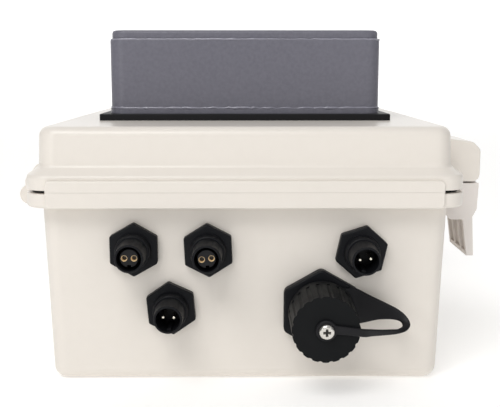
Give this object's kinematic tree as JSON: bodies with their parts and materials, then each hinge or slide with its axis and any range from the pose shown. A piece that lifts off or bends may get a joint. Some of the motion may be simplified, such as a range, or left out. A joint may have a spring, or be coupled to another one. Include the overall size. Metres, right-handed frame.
{
  "type": "irrigation controller",
  "caption": "Weatherproof irrigation valve controller: hinged latched case, panel connectors, capped data port, and a square solar pod on its cover.",
  "frame": {"origin": "middle of the flat back face, which goes against a wall or post", "axes": "+Z out of the back through the cover, +Y along the case's length away from the connector end, +X from the hinges to the latches"},
  "size_m": [0.2056, 0.2615, 0.1517],
  "materials": {
    "case_white": "gloss",
    "latch_white": "gloss",
    "connector_black": "satin",
    "insert_grey": "satin",
    "rubber_black": "matte",
    "brass": "satin",
    "pin_metal": "bright",
    "steel": "satin",
    "pod_paint": "satin texture",
    "solar_cells": "satin",
    "clear_glass": "clear",
    "plate_metal": "satin",
    "board_green": "solder mask",
    "terminal_green": "satin",
    "chip_black": "matte",
    "can_metal": "satin",
    "capacitor_sleeve": "gloss",
    "cell_wrap": "gloss",
    "lead_black": "satin",
    "lead_red": "satin",
    "lead_grey": "satin"
  },
  "bodies": {
    "base": {"battery_cells": "cell_wrap", "battery_contacts": "pin_metal", "battery_header": "chip_black", "battery_holder": "chip_black", "board_screws": "steel", "board_standoffs": "brass", "connector_nuts": "connector_black", "connector_seals": "rubber_black", "controller_board": "board_green", "data_header": "chip_black", "data_lead": "lead_grey", "driver_chips": "chip_black", "enclosure_base": "case_white", "hinge_pins": "steel", "leads_negative": "lead_black", "leads_positive": "lead_red", "mounting_plate": "plate_metal", "plate_screws": "steel", "port_body": "connector_black", "port_jack": "can_metal", "port_nut": "connector_black", "port_seal": "rubber_black", "port_tether": "rubber_black", "processor_chip": "chip_black", "pulse_capacitors": "capacitor_sleeve", "radio_module": "can_metal", "sensor_connector_body": "connector_black", "sensor_connector_contacts": "pin_metal", "sensor_connector_insert": "insert_grey", "supply_connector_body": "connector_black", "supply_connector_contacts": "pin_metal", "supply_connector_insert": "insert_grey", "terminal_block_supply": "terminal_green", "terminal_block_valves": "terminal_green", "terminal_screws": "steel", "valve_a_connector_body": "connector_black", "valve_a_connector_contacts": "brass", "valve_a_connector_insert": "insert_grey", "valve_b_connector_body": "connector_black", "valve_b_connector_contacts": "brass", "valve_b_connector_insert": "insert_grey", "wall_inserts": "brass"},
    "cover": {"enclosure_cover": "case_white", "cover_gasket": "rubber_black", "latch_pins": "steel", "pod_gasket": "rubber_black", "pod_shell": "pod_paint", "pod_lid": "pod_paint", "solar_panel": "solar_cells", "solar_glass": "clear_glass", "lid_screws": "steel", "pod_screws": "steel", "antenna_board": "board_green"},
    "latch_front": {"latch_lever_front": "latch_white"},
    "latch_rear": {"latch_lever_rear": "latch_white"},
    "cap_carrier": {"port_cap_screw": "steel"},
    "cap": {"port_cap": "connector_black", "port_cap_seal": "rubber_black"}
  },
  "joints": [
    {"name": "cover_hinge", "type": "hinge", "parent": "base", "child": "cover", "pos_m": [-0.0962, 0, 0.0785], "axis": [0, -1, 0], "range_deg": [0, 110]},
    {"name": "front_latch", "type": "hinge", "parent": "cover", "child": "latch_front", "pos_m": [0.1013, -0.071, 0.0874], "axis": [0, -1, 0], "range_deg": [0, 85]},
    {"name": "rear_latch", "type": "hinge", "parent": "cover", "child": "latch_rear", "pos_m": [0.1013, 0.071, 0.0874], "axis": [0, -1, 0], "range_deg": [0, 85]},
    {"name": "cap_travel", "type": "slide", "parent": "base", "child": "cap_carrier", "axis": [0, -0.9995, -0.0314], "range_m": [0, 0.0121], "deforming": ["port_tether"]},
    {"name": "cap_turn", "type": "hinge", "parent": "cap_carrier", "child": "cap", "pos_m": [0.0322, -0.1103, 0.0323], "axis": [0, -0.9995, -0.0314], "range_deg": [0, 1440]}
  ],
  "couplings": [
    {"joint": "cap_travel", "follows": "cap_turn", "m_per_rad": 0.00047746}
  ]
}
